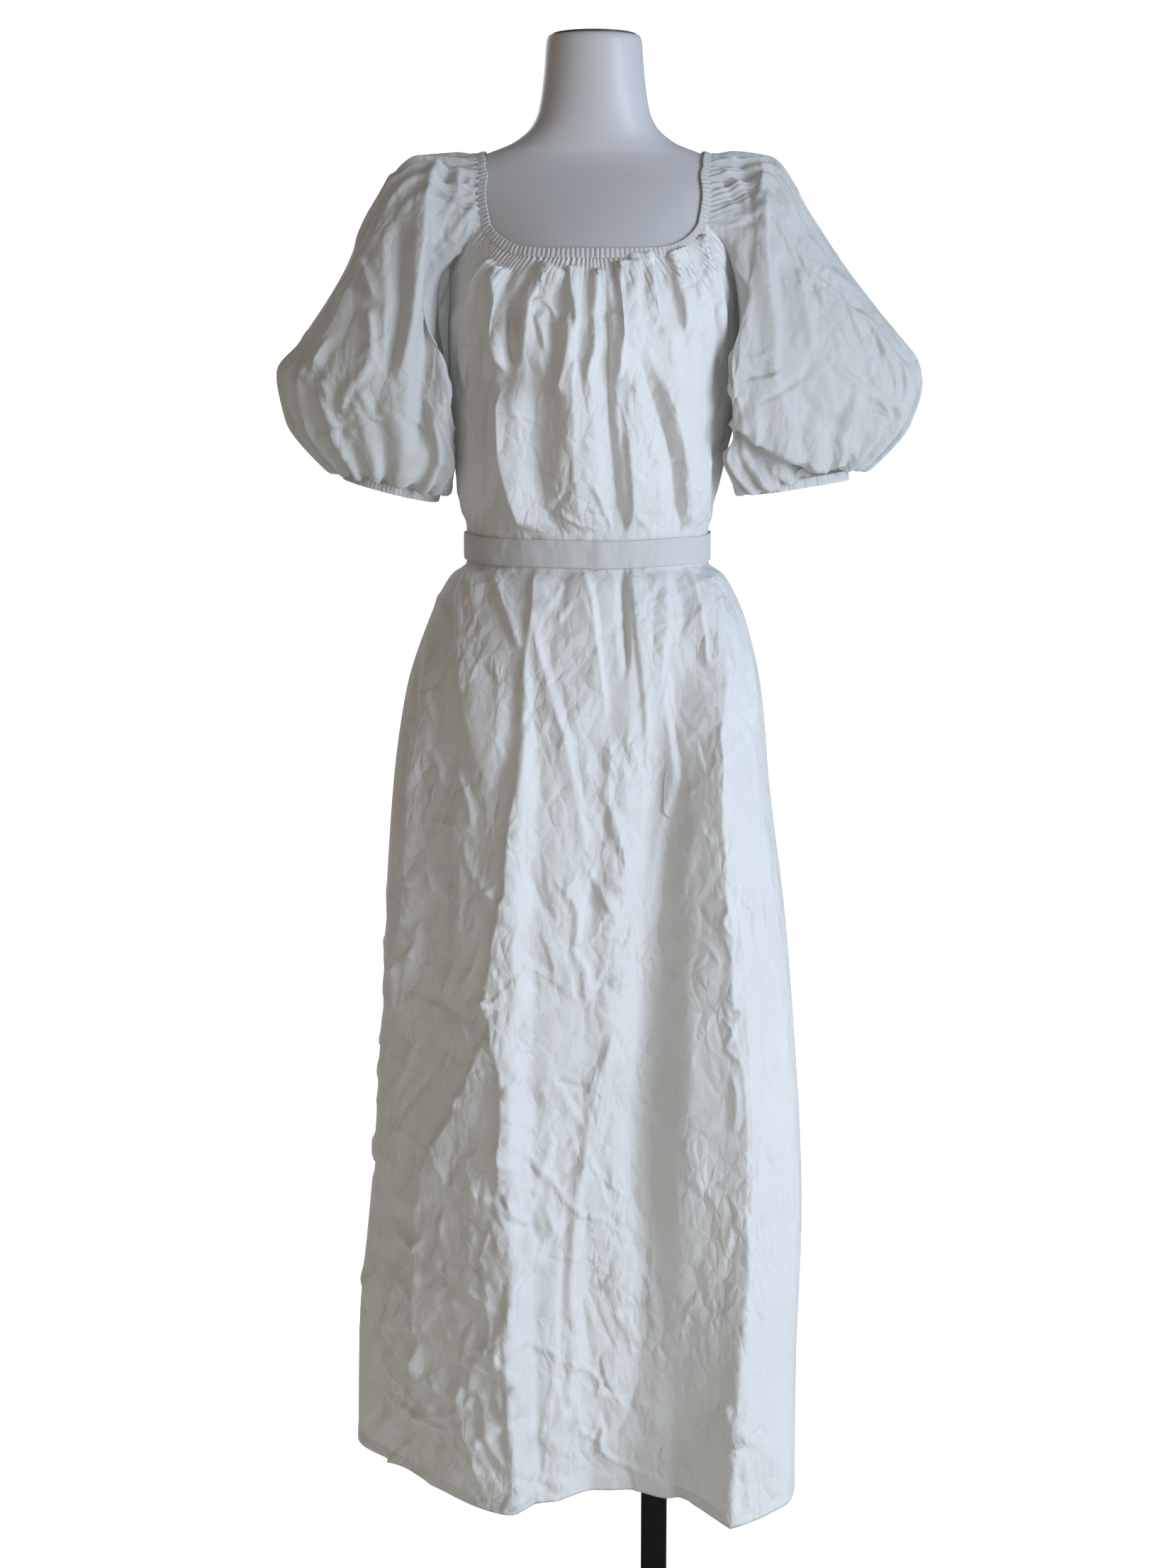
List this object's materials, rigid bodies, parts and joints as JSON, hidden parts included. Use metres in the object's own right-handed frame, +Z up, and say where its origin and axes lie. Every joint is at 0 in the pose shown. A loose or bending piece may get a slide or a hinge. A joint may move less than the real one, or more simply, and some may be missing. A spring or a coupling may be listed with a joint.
{
  "type": "a-line dress on a dress form",
  "caption": "Maxi-length dress with balloon sleeves, an elastic scoop neckline and a self belt, worn by a limbless dress form on a round stand.",
  "frame": {"origin": "centre of the round base plate's underside, on the floor", "axes": "+Z up, -Y out of the dress's front, +X to the viewer's right"},
  "size_m": [0.6559, 0.4433, 1.7359],
  "materials": {
    "cotton": "white lightweight plain-weave cotton, matt and crumpled",
    "form_gloss": "smooth glossy pale grey shell",
    "cap_dark": "dark satin cap",
    "stand_black": "black powder coat"
  },
  "bodies": {
    "root": {"front_panel": "cotton", "back_panel": "cotton", "sleeve_left": "cotton", "sleeve_right": "cotton", "neck_casing": "cotton", "cuff_left": "cotton", "cuff_right": "cotton", "pocket_bag_left": "cotton", "pocket_bag_right": "cotton", "belt": "cotton", "belt_knot": "cotton", "belt_end_left": "cotton", "belt_end_right": "cotton", "form_torso": "form_gloss", "neck_cap": "cap_dark", "form_flange": "stand_black", "pole": "stand_black", "base_hub": "stand_black", "base_plate": "stand_black"}
  },
  "joints": []
}
